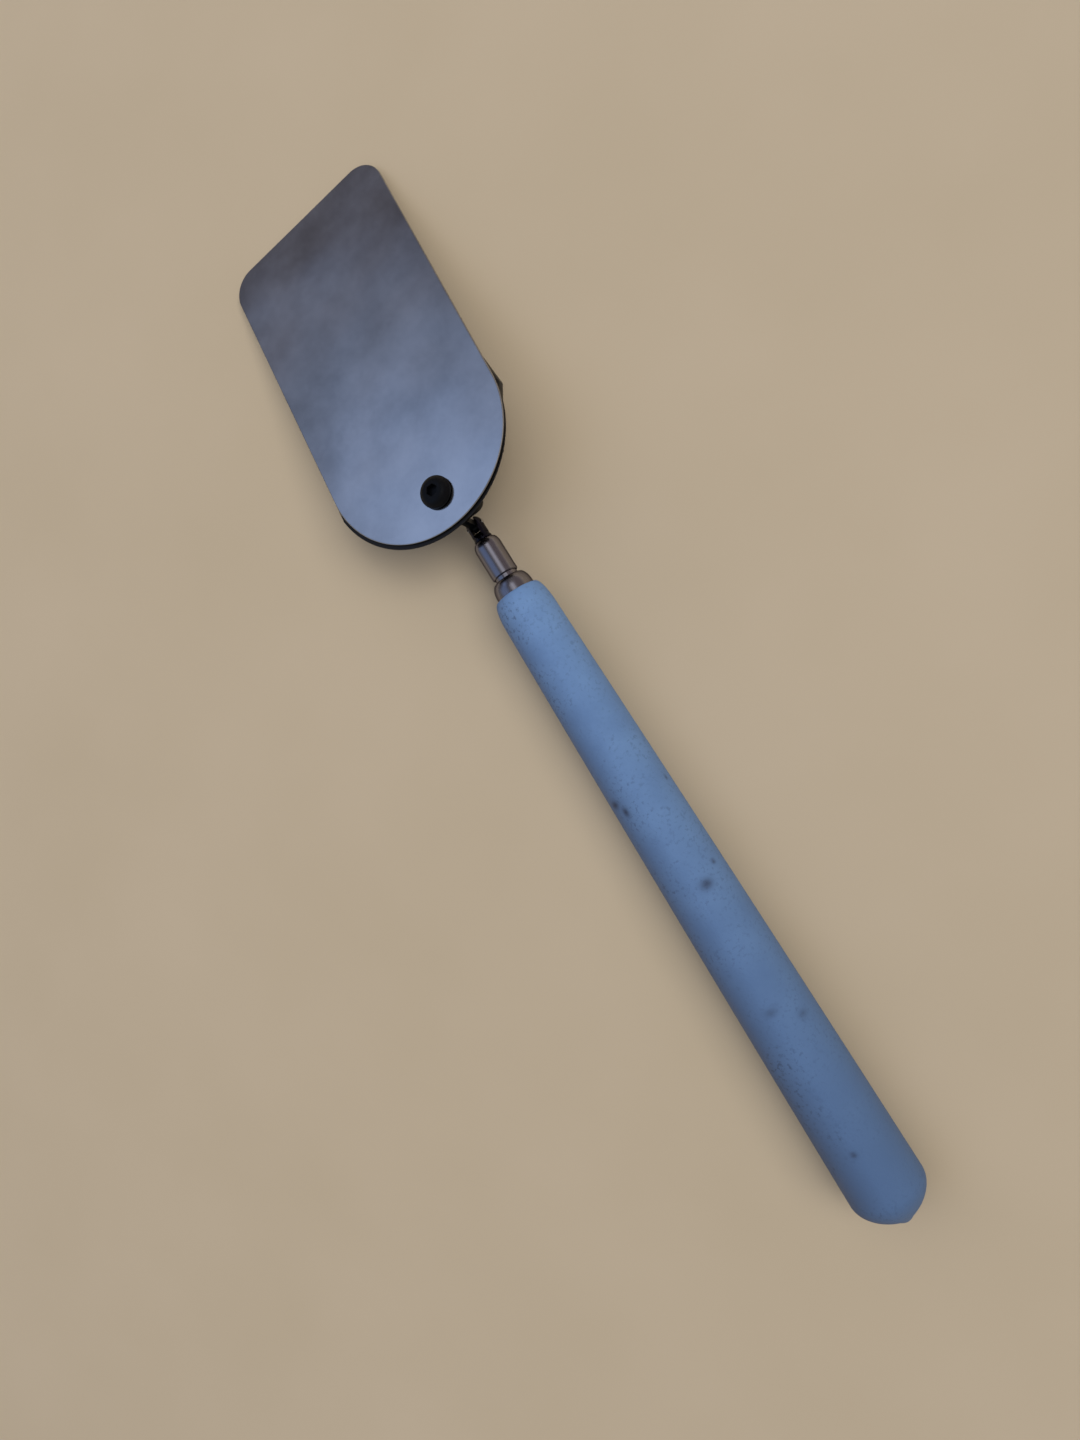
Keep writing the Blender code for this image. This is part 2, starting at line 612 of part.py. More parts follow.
# Mirror: a tongue with a full round at the pivot end and rounded corners at the tip
half_width = MIRROR_WIDTH / 2.0
round_centre = half_width - SCREW_INSET
mirror_tip = MIRROR_LENGTH - SCREW_INSET
tongue = []
for i in range(MIRROR_END_STEPS + 1):
    a = math.pi + math.pi * i / MIRROR_END_STEPS
    tongue.append((half_width * math.cos(a), round_centre + half_width * math.sin(a)))
for corner_x, start in ((half_width - MIRROR_TIP_CORNER, 0.0), (-half_width + MIRROR_TIP_CORNER, 90.0)):
    for x, y in arc(corner_x, mirror_tip - MIRROR_TIP_CORNER, MIRROR_TIP_CORNER, start, start + 90.0, 2 * CORNER_STEPS):
        tongue.append((x, y))
mirror = make_object("mirror_plate", slab(tongue, -MIRROR_THICKNESS, 0.0), swivel_axis, mirror_steel)
bevel_edges(mirror, MIRROR_EDGE)
stack_hole = rod_shape(screw_hole, -2.0 * backing_back, backing_back, SMALL_SIDES)
stack_guide = make_guide("pivot_hole_guide", stack_hole, swivel_axis)
combine(mirror, stack_guide, "DIFFERENCE")

# Backing: a black shield with sloping shoulders and a tab that reaches down around the pivot screw
shoulder_half = half_width + BACKING_SHOULDER_PROUD
foot_half = half_width - BACKING_FOOT_INSET
top_half = half_width - BACKING_TOP_INSET
backing_outline = rounded_outline(
    [
        (-BACKING_TAB_HALF, -BACKING_TAB_BELOW, BACKING_ROUND),
        (BACKING_TAB_HALF, -BACKING_TAB_BELOW, BACKING_ROUND),
        (BACKING_TAB_HALF, -BACKING_FOOT_BELOW, BACKING_ROUND),
        (foot_half, -BACKING_FOOT_BELOW, BACKING_ROUND / 2.0),
        (shoulder_half, BACKING_SHOULDER_AHEAD, BACKING_ROUND),
        (top_half, BACKING_TOP_AHEAD, BACKING_TOP_ROUND),
        (-top_half, BACKING_TOP_AHEAD, BACKING_TOP_ROUND),
        (-shoulder_half, BACKING_SHOULDER_AHEAD, BACKING_ROUND),
        (-foot_half, -BACKING_FOOT_BELOW, BACKING_ROUND / 2.0),
        (-BACKING_TAB_HALF, -BACKING_FOOT_BELOW, BACKING_ROUND),
    ],
    CORNER_STEPS,
)
backing = make_object("mirror_backing", slab(backing_outline, -backing_back, -backing_front), swivel_axis, backing_black)
bevel_edges(backing, BACKING_EDGE)
combine(backing, stack_guide, "DIFFERENCE")

# Pivot screw: a button head with a hexagon socket, on a shank that runs through the stack to the nut
head_bottom = SEAT_GAP
head_top = head_bottom + SCREW_HEAD_HEIGHT
dome_low = head_bottom + SCREW_HEAD_RIM
dome_run = SCREW_HEAD_RADIUS - SCREW_HEAD_FLAT
dome_rise = head_top - dome_low
screw_profile = [
    (0.0, -screw_end),
    (SCREW_RADIUS - PLUG_CHAMFER, -screw_end),
    (SCREW_RADIUS, -screw_end + PLUG_CHAMFER),
    (SCREW_RADIUS, head_bottom),
    (SCREW_HEAD_RADIUS, head_bottom),
]
for i in range(8):
    a = math.pi / 2.0 * i / 7
    screw_profile.append((SCREW_HEAD_FLAT + dome_run * math.cos(a), dome_low + dome_rise * math.sin(a)))
screw_profile.append((0.0, head_top))
screw = make_object("pivot_screw", turned(screw_profile, TUBE_SIDES), swivel_axis, black_oxide)
socket = slab(hexagon(SOCKET_FLATS), head_top - SOCKET_DEPTH, head_top + SOCKET_DEPTH)
combine(screw, make_guide("socket_guide", socket, swivel_axis), "DIFFERENCE")

washer = ring(screw_hole, FRICTION_WASHER_RADIUS, -washer_back, -washer_front, TUBE_SIDES)
make_object("friction_washer", washer, swivel_axis, fibre)

# The spring washer is a shallow cone that presses the nut away from the knuckle
spring_section = [
    (screw_hole, -spring_back),
    (SPRING_WASHER_RADIUS, -spring_back + SPRING_WASHER_RISE),
    (SPRING_WASHER_RADIUS, -spring_back + SPRING_WASHER_RISE + SPRING_WASHER_THICKNESS),
    (screw_hole, -spring_back + SPRING_WASHER_THICKNESS),
]
make_object("spring_washer", turned(spring_section, TUBE_SIDES, closed=True), swivel_axis, spring_steel)

# Lock nut: a hexagon whose outer corners are turned off by a cone
nut = make_object("lock_nut", slab(hexagon(NUT_FLATS), -nut_back, -nut_front), swivel_axis, black_oxide)
nut_corner = NUT_FLATS / math.sqrt(3.0)
nut_cone = turned(
    [
        (0.0, -nut_back - NUT_CHAMFER),
        (nut_corner - 2.0 * NUT_CHAMFER, -nut_back - NUT_CHAMFER),
        (nut_corner + NUT_CHAMFER, -nut_back + NUT_CHAMFER),
        (nut_corner + NUT_CHAMFER, -nut_front + NUT_CHAMFER),
        (0.0, -nut_front + NUT_CHAMFER),
    ],
    TUBE_SIDES,
)
combine(nut, make_guide("nut_cone_guide", nut_cone, swivel_axis), "INTERSECT")
nut_hole = rod_shape(SCREW_RADIUS + FIT_GAP, -2.0 * nut_back, 0.0, SMALL_SIDES)
combine(nut, make_guide("nut_hole_guide", nut_hole, swivel_axis), "DIFFERENCE")
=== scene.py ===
# %% [markdown]
# # A telescoping inspection mirror on a bench
# The tool is a polished steel mirror on a tilting head, two telescoping steel stages and a handle dipped in
# light-blue vinyl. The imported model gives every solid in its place, in metres. This lesson dresses it: each
# piece that shows gets a smoother surface worked out with numpy where the solid is faceted, and each finish is
# built from nodes at the size that it has on the real tool.

# %% Load the fixed frame
import json

import bmesh
import bpy
import numpy as np
from mathutils import Matrix, Vector


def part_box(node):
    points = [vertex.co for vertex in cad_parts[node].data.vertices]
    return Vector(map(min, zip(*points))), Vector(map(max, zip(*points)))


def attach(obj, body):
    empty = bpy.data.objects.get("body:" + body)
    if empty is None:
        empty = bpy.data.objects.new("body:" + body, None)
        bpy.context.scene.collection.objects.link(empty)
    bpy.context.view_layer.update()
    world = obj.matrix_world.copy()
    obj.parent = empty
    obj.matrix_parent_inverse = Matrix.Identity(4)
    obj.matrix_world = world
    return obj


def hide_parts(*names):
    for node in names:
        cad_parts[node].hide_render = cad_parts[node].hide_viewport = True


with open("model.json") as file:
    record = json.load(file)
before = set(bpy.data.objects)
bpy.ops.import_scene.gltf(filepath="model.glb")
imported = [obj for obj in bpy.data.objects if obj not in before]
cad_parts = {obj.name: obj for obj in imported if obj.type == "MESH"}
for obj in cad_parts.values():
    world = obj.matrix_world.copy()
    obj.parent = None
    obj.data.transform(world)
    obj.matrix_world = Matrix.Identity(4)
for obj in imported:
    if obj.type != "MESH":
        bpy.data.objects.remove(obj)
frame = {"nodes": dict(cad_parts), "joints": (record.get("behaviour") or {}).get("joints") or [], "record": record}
bpy.context.view_layer.update()
nodes = frame["nodes"]
MM = 0.001

# %% [markdown]
# ## Colours and nodes
# Finishes are written as sRGB hex, the way a paint card gives them, and Blender works in linear light. One function
# turns the first into the second, and one small function adds a shader node with its settings and its links, so
# that a finish below reads as a list of what it is made of.

# %% Colour and node helpers
def linear(hex_code):
    """sRGB hex to linear RGBA: each channel is c/12.92 near black and ((c + 0.055)/1.055)^2.4 above."""
    c = np.array([int(hex_code[i:i + 2], 16) for i in (1, 3, 5)]) / 255.0
    c = np.where(c <= 0.04045, c / 12.92, ((c + 0.055) / 1.055) ** 2.4)
    return (*c.tolist(), 1.0)


def feed(tree, node, links):
    """Feeds a node's inputs from the sockets of other nodes."""
    for key, socket in links.items():
        tree.links.new(socket, node.inputs[key])


def add(tree, kind, settings=None, links=None, stops=()):
    """Adds a node. A setting is a property or an input, a link feeds an input, and stops are a ramp's colours."""
    node = tree.nodes.new("ShaderNode" + kind)
    for key, value in (settings or {}).items():
        if isinstance(key, str) and hasattr(node, key):
            setattr(node, key, value)
        else:
            node.inputs[key].default_value = value
    feed(tree, node, links or {})
    for i, (at, colour) in enumerate(stops):
        ramp = node.color_ramp.elements
        stop = ramp[i] if i < len(ramp) else ramp.new(at)
        stop.position, stop.color = at, linear(colour)
    return node


def finish_named(name, colour, roughness, metallic=0.0):
    """A new material with its shader, and the piece's own coordinates in metres for its patterns."""
    material = bpy.data.materials.new(name)
    material.use_nodes = True
    tree = material.node_tree
    shader = tree.nodes["Principled BSDF"]
    shader.inputs["Base Color"].default_value = linear(colour)
    shader.inputs["Roughness"].default_value = roughness
    shader.inputs["Metallic"].default_value = metallic
    place = add(tree, "TexCoord").outputs["Object"]
    return material, tree, shader, place


print("mid grey in linear light:", round(linear("#808080")[0], 3))

# %% [markdown]
# ## The camera
# The photograph looks down at the tool from the handle's right, with a wide phone lens. The place and direction
# below come from fitting the mirror's outline, the screw and the handle's midline to the photograph. A matrix whose
# columns are the camera's right, up and back gives the pose at once, with no angles to work out.

# %% Camera at the photograph's angle
LENS_MM, SENSOR_MM, NEAREST = 25.06, 36.0, 10 * MM
RIGHT, UP, AHEAD = (0.7833, -0.52357, -0.33515), (0.51677, 0.84808, -0.11707), (-0.34552, 0.0815, -0.93487)
EYE_PLACE = (0.068612, -0.019643, 0.225749)

eye = bpy.data.objects.new("photo_camera", bpy.data.cameras.new("photo_camera"))
bpy.context.scene.collection.objects.link(eye)
eye.data.lens, eye.data.sensor_width, eye.data.clip_start = LENS_MM, SENSOR_MM, NEAREST
pose = Matrix((RIGHT, UP, -Vector(AHEAD))).transposed().to_4x4()
pose.translation = EYE_PLACE
eye.matrix_world = pose
bpy.context.scene.camera = eye
bpy.context.scene.view_settings.view_transform = "Standard"
print("camera at", [round(v, 4) for v in eye.location], "lens", round(eye.data.lens, 2), "mm")

# %% [markdown]
# ## The bench
# The tool lies on a plain pale board. One flat sheet that is far wider than the view is enough for it. It lies a hair
# below the tool, so that no two surfaces share a place.

# %% Bench
BENCH_HALF, BENCH_HEIGHT = 12.0, -0.1 * MM

corners = BENCH_HALF * np.array([(-1, -1), (1, -1), (1, 1), (-1, 1)], float)
board_mesh = bpy.data.meshes.new("bench")
board_mesh.from_pydata(np.c_[corners, np.full(4, BENCH_HEIGHT)].tolist(), [], [(0, 1, 2, 3)])
bench = bpy.data.objects.new("bench", board_mesh)
bpy.context.scene.collection.objects.link(bench)
# Painted board: an even pale tan with faint cloudy staining some 60 mm across, dull to the eye
board, tree, shader, place = finish_named("painted_board", "#C2B6A1", 0.7)
clouds = add(tree, "TexNoise", {"Scale": 1 / (60 * MM), "Detail": 3.0}, {"Vector": place})
tone = add(tree, "ValToRGB", links={"Fac": clouds.outputs["Fac"]}, stops=[(0.3, "#C0B49E"), (0.7, "#C4B8A3")])
feed(tree, shader, {"Base Color": tone.outputs["Color"]})
bench.data.materials.append(board)
print("bench:", board.name, "on a sheet", 2 * BENCH_HALF, "m wide")

# %% [markdown]
# ## The room and the lamps
# Polished steel shows the room, so the room matters as much as the lamps. Seen from the photograph's place, the mirror
# looks at a patch of sky-blue light ahead of the tool, 45 degrees up, which fades within 18 degrees to a dim wall.
# The tubes show a pale ceiling overhead and a brown wall on the right. Each of these is an angle from one direction,
# so the world is built from dot products with a few directions, and it is pale near the horizon all round. The light
# itself comes from a soft lamp on the tool's right, which gives the shadow its side, and a much broader one ahead.

# %% Room
world = bpy.data.worlds.new("room")
bpy.context.scene.world = world
world.use_nodes = True
tree = world.node_tree
look = add(tree, "TexCoord").outputs["Generated"]


def facing(towards, low, high):
    """0 to 1 as the cosine between the look and a direction rises from low to high."""
    unit = Vector(towards).normalized()
    cosine = add(tree, "VectorMath", {"operation": "DOT_PRODUCT", 1: unit}, {0: look}).outputs["Value"]
    return add(tree, "MapRange", {"From Min": low, "From Max": high}, {"Value": cosine}).outputs[0]


SKY_PATCH = [
    (0.20, "#86827E"), (0.58, "#5A575D"), (0.812, "#5E5C64"), (0.862, "#6D7081"),
    (0.908, "#7C869D"), (0.952, "#8492B0"), (0.974, "#93A5C9"), (0.992, "#ACC3EE"),
]
patch = add(tree, "ValToRGB", links={"Fac": facing((-0.30, 0.64, 0.71), 0.75, 1.0)}, stops=SKY_PATCH)
# Each layer over the patch: its colour, the direction it lies in, and the cosines at which it starts and is full
LAYERS = [
    ("#857A7A", (1.0, 0.0, 0.25), 0.45, 0.8),      # brown wall on the right
    ("#8FA3C8", (-0.60, 0.20, 0.78), 0.86, 0.97),  # blue light, high on the left
    ("#F4F4FA", (0.33, 0.27, 0.90), 0.95, 0.99),   # pale ceiling overhead
    ("#CFC4B2", (0.0, 0.0, -1.0), -0.16, -0.04),   # pale near the horizon and below it
]
room = patch.outputs["Color"]
for colour, towards, low, high in LAYERS:
    share = facing(towards, low, high)
    room = add(tree, "Mix", {"data_type": "RGBA", 7: linear(colour)}, {0: share, 6: room}).outputs[2]
feed(tree, tree.nodes["Background"], {"Color": room})
print("room: a sky patch and", len(LAYERS), "layers")

# %% Lamps
AIM = Vector((0.0, -0.02, 0.0))
# Each lamp: its name, its place and width in metres, its watts and its colour
LAMPS = [
    ("side_lamp", (1.80, -0.36, 2.64), 1.8, 50.0, "#FFF6EA"),
    ("front_lamp", (-0.30, 1.90, 2.76), 4.5, 49.0, "#FFF4E4"),
]
for name, at, width, watts, colour in LAMPS:
    lamp = bpy.data.objects.new(name, bpy.data.lights.new(name, "AREA"))
    lamp.data.size, lamp.data.energy, lamp.data.color = width, watts, linear(colour)[:3]
    lamp.location = at
    lamp.rotation_euler = (AIM - Vector(at)).to_track_quat("-Z", "Y").to_euler()
    bpy.context.scene.collection.objects.link(lamp)
    lamp.visible_glossy = lamp.visible_camera = False
    print(name, watts, "W")

# %% [markdown]
# ## Surfaces from grids
# Nearly every piece here is a grid: a profile carried round the shaft, or an outline carried round the plate's edge.
# The grid's columns wrap round and its rows run along the profile. Quads join neighbours, points that fall on the
# axis are merged into a pole, and edges that turn sharply are kept sharp so that highlights break there.

# %% Grid helpers
SHARP_DEG = 32.0
MERGE_WITHIN, NO_LENGTH = 1e-7, 1e-8


def grid_piece(name, grid, material, closed_profile, sharp_deg=SHARP_DEG):
    """Joins a grid of points (rows, columns, 3) into a mesh. Columns wrap; a closed profile's rows wrap too."""
    rows, cols = grid.shape[:2]
    ids = np.arange(rows * cols).reshape(rows, cols)
    low = ids if closed_profile else ids[:-1]
    high = np.roll(ids, -1, axis=0) if closed_profile else ids[1:]
    quads = np.stack([low, np.roll(low, -1, axis=1), np.roll(high, -1, axis=1), high], axis=-1).reshape(-1, 4)
    mesh = bpy.data.meshes.new(name)
    mesh.from_pydata(grid.reshape(-1, 3).tolist(), [], quads.tolist())
    return merged_piece(name, mesh, material, sharp_deg)


def merged_piece(name, mesh, material, sharp_deg):
    """Merges doubled points, turns the faces outwards and smooths all but the sharp edges."""
    bm = bmesh.new()
    bm.from_mesh(mesh)
    bmesh.ops.remove_doubles(bm, verts=bm.verts, dist=MERGE_WITHIN)
    bmesh.ops.dissolve_degenerate(bm, edges=bm.edges, dist=NO_LENGTH)
    bmesh.ops.recalc_face_normals(bm, faces=bm.faces)
    bm.to_mesh(mesh)
    bm.free()
    mesh.shade_smooth()
    mesh.set_sharp_from_angle(angle=np.radians(sharp_deg))
    mesh.materials.clear()
    mesh.materials.append(material)
    piece = bpy.data.objects.new(name, mesh)
    bpy.context.scene.collection.objects.link(piece)
    return piece


def points_of(piece):
    """The points of a piece as rows of (x, y, z)."""
    flat = np.empty(3 * len(piece.data.vertices), np.float32)
    piece.data.vertices.foreach_get("co", flat)
    return flat.reshape(-1, 3).astype(float)


def mark(piece, name, amount):
    """Writes one number for each point, which a finish reads by its name."""
    piece.data.attributes.new(name, "FLOAT", "POINT").data.foreach_set("value", amount)


def stand_for(piece, node, body):
    """Hides a solid, and lets the piece ride and take its finish in its place."""
    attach(piece, body)
    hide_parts(node)
    print(piece.name, "stands for", node, "with", len(piece.data.polygons), "faces")


# %% Profile helpers
SHAFT_HEIGHT = 0.5 * sum(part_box("handle_tube")[k][2] for k in (0, 1))


def around_shaft(profile, columns):
    """Carries (radius, y) pairs round the shaft: x = r cos a, z = shaft height + r sin a."""
    profile = np.asarray(profile, float)
    a = np.linspace(0.0, 2.0 * np.pi, columns, endpoint=False)
    r, y = profile[:, :1], profile[:, 1:]
    return np.stack([r * np.cos(a), y + 0.0 * a, SHAFT_HEIGHT + r * np.sin(a)], axis=-1)


def arc(centre_r, centre_y, reach_r, reach_y, start_deg, end_deg, count):
    """Points on part of an ellipse: centre + (reach_r cos a, reach_y sin a)."""
    a = np.radians(np.linspace(start_deg, end_deg, count))
    return np.c_[centre_r + reach_r * np.cos(a), centre_y + reach_y * np.sin(a)]


print("shaft", round(SHAFT_HEIGHT / MM, 2), "mm above the bench")

# %% [markdown]
# ## The dipped vinyl grip
# The handle was dipped butt-down in liquid vinyl and hung to set, so the skin is thickest at the butt, has a small
# drop at its very end, and thins to a soft rounded lip around the tube. A subdivided cylinder could be pushed into
# this shape, but the profile is known, so it is written down once and carried round the shaft.

# %% Grip profile
TIP_Y, RIM_Y = (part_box("vinyl_grip")[k][1] for k in (0, 1))
BUTT_R, BUTT_LONG, BUTT_POWER, NUB_R = 8.95 * MM, 8.6 * MM, 0.96, 2.7 * MM
FILLET, FILLET_RISE, FILLET_FALL = 0.25 * MM, 0.6 * MM, 1.4 * MM
RIM_R, CROWN, LIP_DEEP, LIP_LONG, LIP_END_DEG = 6.7 * MM, 0.2 * MM, 1.5 * MM, 7.0 * MM, 88.0
BORE_R, BORE_ROLL, END_WALL = 4.85 * MM, 0.2 * MM, 12.0 * MM


def grip_profile():
    """Butt: R(1 - (1 - t)^2)^power with a round drop at the tip, the larger of the two with a fillet between them.

    Body: a taper with a crown of 4 c t (1 - t). Lip: part of an ellipse, then a small roll into the bore.
    """
    h = BUTT_LONG * (1.0 - np.cos(np.linspace(0.0, np.pi / 2.0, 70)))
    dome = BUTT_R * (1.0 - (1.0 - h / BUTT_LONG) ** 2) ** BUTT_POWER
    drop = np.where(h < NUB_R, np.sqrt(np.clip(NUB_R ** 2 - (NUB_R - h) ** 2, 0.0, None)), 0.0)
    fillet = FILLET * np.clip(h / FILLET_RISE, 0.0, 1.0) * np.clip(2.0 - h / FILLET_FALL, 0.0, 1.0)
    butt = np.c_[0.5 * (dome + drop + np.sqrt((dome - drop) ** 2 + fillet ** 2)), TIP_Y + h]
    t = np.linspace(0.0, 1.0, 240)[1:-1]
    y = (1.0 - t) * (TIP_Y + BUTT_LONG) + t * (RIM_Y - LIP_LONG)
    body = np.c_[(1.0 - t) * BUTT_R + t * RIM_R + 4.0 * CROWN * t * (1.0 - t), y]
    lip = arc(RIM_R - LIP_DEEP, RIM_Y - LIP_LONG, LIP_DEEP, LIP_LONG, 0.0, LIP_END_DEG, 40)
    roll = arc(BORE_R + BORE_ROLL, RIM_Y - BORE_ROLL, BORE_ROLL, BORE_ROLL, 90.0, 180.0, 6)
    inside = np.array([(BORE_R, TIP_Y + END_WALL), (0.0, TIP_Y + END_WALL)])
    return np.vstack([butt, body, lip, roll, inside])


print("grip profile points:", len(grip_profile()))

# %% [markdown]
# ## Vinyl finish
# Dipped plastisol is matte and slightly rubbery, with a fine pebble that catches light at a slant. Years of hands
# have left grime: grey specks caught in the pebble, mostly in patches, and a few dark stains. The pebble is a bump,
# the specks are a fine noise let through by a broad one, and the stains are soft round spots that sit where the
# photograph shows them.
# Painted shade darkens the vinyl as well: towards the butt, along with its grime, and on the side that lies away from
# the light.

# %% Vinyl colour
# Plastisol, dipped: soft sheen, no mirror-like reflection, colour a little uneven and darker towards the butt, partly
# grime and partly painted shade
vinyl, tree, shader, place = finish_named("dipped_vinyl_light_blue", "#6085BA", 0.62)
axes = add(tree, "SeparateXYZ", links={"Vector": place})
patches = add(tree, "TexNoise", {"Scale": 1 / (14 * MM), "Detail": 4.0, "Roughness": 0.6}, {"Vector": place})
tone = add(tree, "ValToRGB", links={"Fac": patches.outputs["Fac"]}, stops=[(0.32, "#6186BC"), (0.66, "#7097CD")])
butt_grime_and_shade = add(tree, "MapRange", {"From Min": 20 * MM, "From Max": -115 * MM, "To Max": 0.8},
              {"Value": axes.outputs["Y"]})
vinyl_colour = tone.outputs["Color"]
print("vinyl:", vinyl.name)

# %% Vinyl grime and painted shade
# Specks: 0.5 to 1 mm across, in patches; on the side that lies away from the light they are painted thicker, as painted
# shade
fleck = add(tree, "TexNoise", {"Scale": 1 / (0.9 * MM), "Detail": 3.0, "Roughness": 0.65}, {"Vector": place})
speck = add(tree, "MapRange", {"From Min": 0.54, "From Max": 0.66}, {"Value": fleck.outputs["Fac"]})
where = add(tree, "MapRange", {"From Min": 0.36, "From Max": 0.60}, {"Value": patches.outputs["Fac"]})
shaded = add(tree, "MapRange", {"From Min": 3 * MM, "From Max": -5 * MM, "To Min": 0.3, "To Max": 0.8},
             {"Value": axes.outputs["X"]})
grime_and_side_shade = add(tree, "Math", {"operation": "MULTIPLY"}, {0: speck.outputs[0], 1: where.outputs[0]})
grime_and_side_shade = add(tree, "Math", {"operation": "MULTIPLY"}, {0: grime_and_side_shade.outputs[0], 1: shaded.outputs[0]})
# Painted shade: a grey film darkens that side as well
painted_shade_film = add(tree, "MapRange", {"From Min": 1 * MM, "From Max": -7.5 * MM, "To Max": 0.5}, {"Value": axes.outputs["X"]})
stain = add(tree, "Attribute", {"attribute_name": "stain"})
# Each layer over the clean vinyl, for grime, stains and painted shade: its colour and its share
WEAR_AND_PAINTED_SHADE = [
    ("#4A6690", butt_grime_and_shade.outputs[0]), ("#34486B", grime_and_side_shade.outputs[0]),
    ("#3B404E", painted_shade_film.outputs[0]), ("#2F3A55", stain.outputs["Fac"]),
]
for colour, share in WEAR_AND_PAINTED_SHADE:
    vinyl_colour = add(tree, "Mix", {"data_type": "RGBA", 7: linear(colour)}, {0: share, 6: vinyl_colour}).outputs[2]
print("layers of wear:", len(WEAR_AND_PAINTED_SHADE))

# %% Vinyl pebble
# The pebble is about 0.4 mm on the real skin, and is drawn at 0.6 mm so that it shows
pebble = add(tree, "TexNoise", {"Scale": 1 / (0.6 * MM), "Detail": 2.0, "Roughness": 0.55}, {"Vector": place})
bump = add(tree, "Bump", {"Strength": 0.8, "Distance": 0.09 * MM}, {"Height": pebble.outputs["Fac"]})
rough = add(tree, "MapRange", {"From Min": 0.3, "From Max": 0.7, "To Min": 0.55, "To Max": 0.7},
            {"Value": patches.outputs["Fac"]})
feed(tree, shader, {"Base Color": vinyl_colour, "Normal": bump.outputs["Normal"], "Roughness": rough.outputs[0]})
print("nodes in the vinyl:", len(tree.nodes))

# %% Grip and its stains
GRIP_COLUMNS, GRIP_SHARP_DEG = 160, 50.0
# Each stain: place along the shaft in mm, angle round it in degrees, half length and half width in mm, strength
STAINS = [
    (-26.3, 130, 0.9, 1.3, 1.0), (-28.8, 115, 1.2, 0.8, 0.95), (-50.8, 61, 1.2, 1.6, 0.8), (-47.6, 29, 0.5, 0.6, 0.85),
    (-26.8, 14, 0.5, 0.5, 0.8), (-80.8, 82, 1.0, 1.5, 0.45), (-84.6, 41, 0.9, 1.3, 0.45), (-114.4, 88, 0.6, 0.7, 0.8),
]
skin = around_shaft(grip_profile(), GRIP_COLUMNS)
grip = grid_piece("dipped_grip", skin, vinyl, closed_profile=False, sharp_deg=GRIP_SHARP_DEG)
x, y, z = points_of(grip).T
turn = np.degrees(np.arctan2(z - SHAFT_HEIGHT, x))
amount = np.zeros(len(x))
for at, angle, half_long, half_wide, strength in STAINS:
    # How far a point lies from the stain's middle, in half lengths: the stain fades as exp(-far^2)
    sideways = np.radians((turn - angle + 180.0) % 360.0 - 180.0) * np.hypot(x, z - SHAFT_HEIGHT) / MM
    far = np.hypot((y / MM - at) / half_long, sideways / half_wide)
    amount = np.maximum(amount, strength * np.exp(-far ** 2))
mark(grip, "stain", amount)
stand_for(grip, "vinyl_grip", "handle")

# %% [markdown]
# ## Steel stages
# The outer tube's mouth is rolled in around the middle tube, and the ferrule on the middle tube is rolled in around
# the rod, so each end closes with a smooth curve. Both are profiles carried round the shaft, made as rings so that
# the bore is really open.

# %% Tube finish
# Stainless tube, drawn through a die: bright, with faint lines along its length from the drawing
tube_finish, tree, shader, place = finish_named("stainless_tube_drawn", "#908E96", 0.24, 1.0)
shader.inputs["Specular Tint"].default_value = linear("#7C7880")
lines = add(tree, "Mapping", {"Scale": (1 / (0.25 * MM), 1 / (14 * MM), 1 / (0.25 * MM))}, {"Vector": place})
drawn = add(tree, "TexNoise", {"Scale": 1.0, "Detail": 2.0}, {"Vector": lines.outputs["Vector"]})
rough = add(tree, "MapRange", {"To Min": 0.16, "To Max": 0.34}, {"Value": drawn.outputs["Fac"]})
bump = add(tree, "Bump", {"Strength": 0.15, "Distance": 0.02 * MM}, {"Height": drawn.outputs["Fac"]})
feed(tree, shader, {"Roughness": rough.outputs[0], "Normal": bump.outputs["Normal"]})
print("tubes:", tube_finish.name)

# %% Outer tube and ferrule
TUBE_COLUMNS = 96
LEAST_ROLL = 0.25  # of the wall, for the inner side of a tight roll


def rolled_tube(bottom, mouth, outer, bore, opening, roll_r, roll_y, wall, foot):
    """A tube whose mouth rolls in: up the outside, a quarter ellipse inwards, across the lip and down the inside."""
    rim = arc(outer - roll_r, mouth - roll_y, roll_r, roll_y, 0.0, 90.0, 14)
    inner_r, inner_y = (max(roll - wall, LEAST_ROLL * wall) for roll in (roll_r, roll_y))
    back = arc(bore - inner_r, mouth - wall - inner_y, inner_r, inner_y, 90.0, 0.0, 10)
    start = [(bore, bottom), (outer - foot, bottom), (outer, bottom + foot)]
    return np.vstack([start, rim, [(opening, mouth), (opening, mouth - wall)], back])


# Radii, rolls, wall and the ease at the foot, in mm
OUTER_TUBE = {"outer": 4.7, "bore": 4.1, "opening": 3.05, "roll_r": 1.5, "roll_y": 3.0, "wall": 0.6, "foot": 0.05}
FERRULE = {"outer": 3.25, "bore": 2.95, "opening": 1.95, "roll_r": 0.9, "roll_y": 1.9, "wall": 0.5, "foot": 0.2}
for name, node, body, slot, sizes in (
    ("outer_tube", "handle_tube", "handle", "tube_steel", OUTER_TUBE),
    ("ferrule", "middle_ferrule", "middle_stage", "ferrule_steel", FERRULE),
):
    bottom, mouth = (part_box(node)[k][1] for k in (0, 1))
    shape = rolled_tube(bottom, mouth, **{key: size * MM for key, size in sizes.items()})
    tube = grid_piece(name, around_shaft(shape, TUBE_COLUMNS), tube_finish, closed_profile=True)
    stand_for(tube, node, body)

# %% [markdown]
# ## The head
# The mirror, its backing and the pivot screw share one frame: u across the mirror, v along it from the screw to the
# tip, and depth along the face's normal. The frame is read from the record's swivel joint.

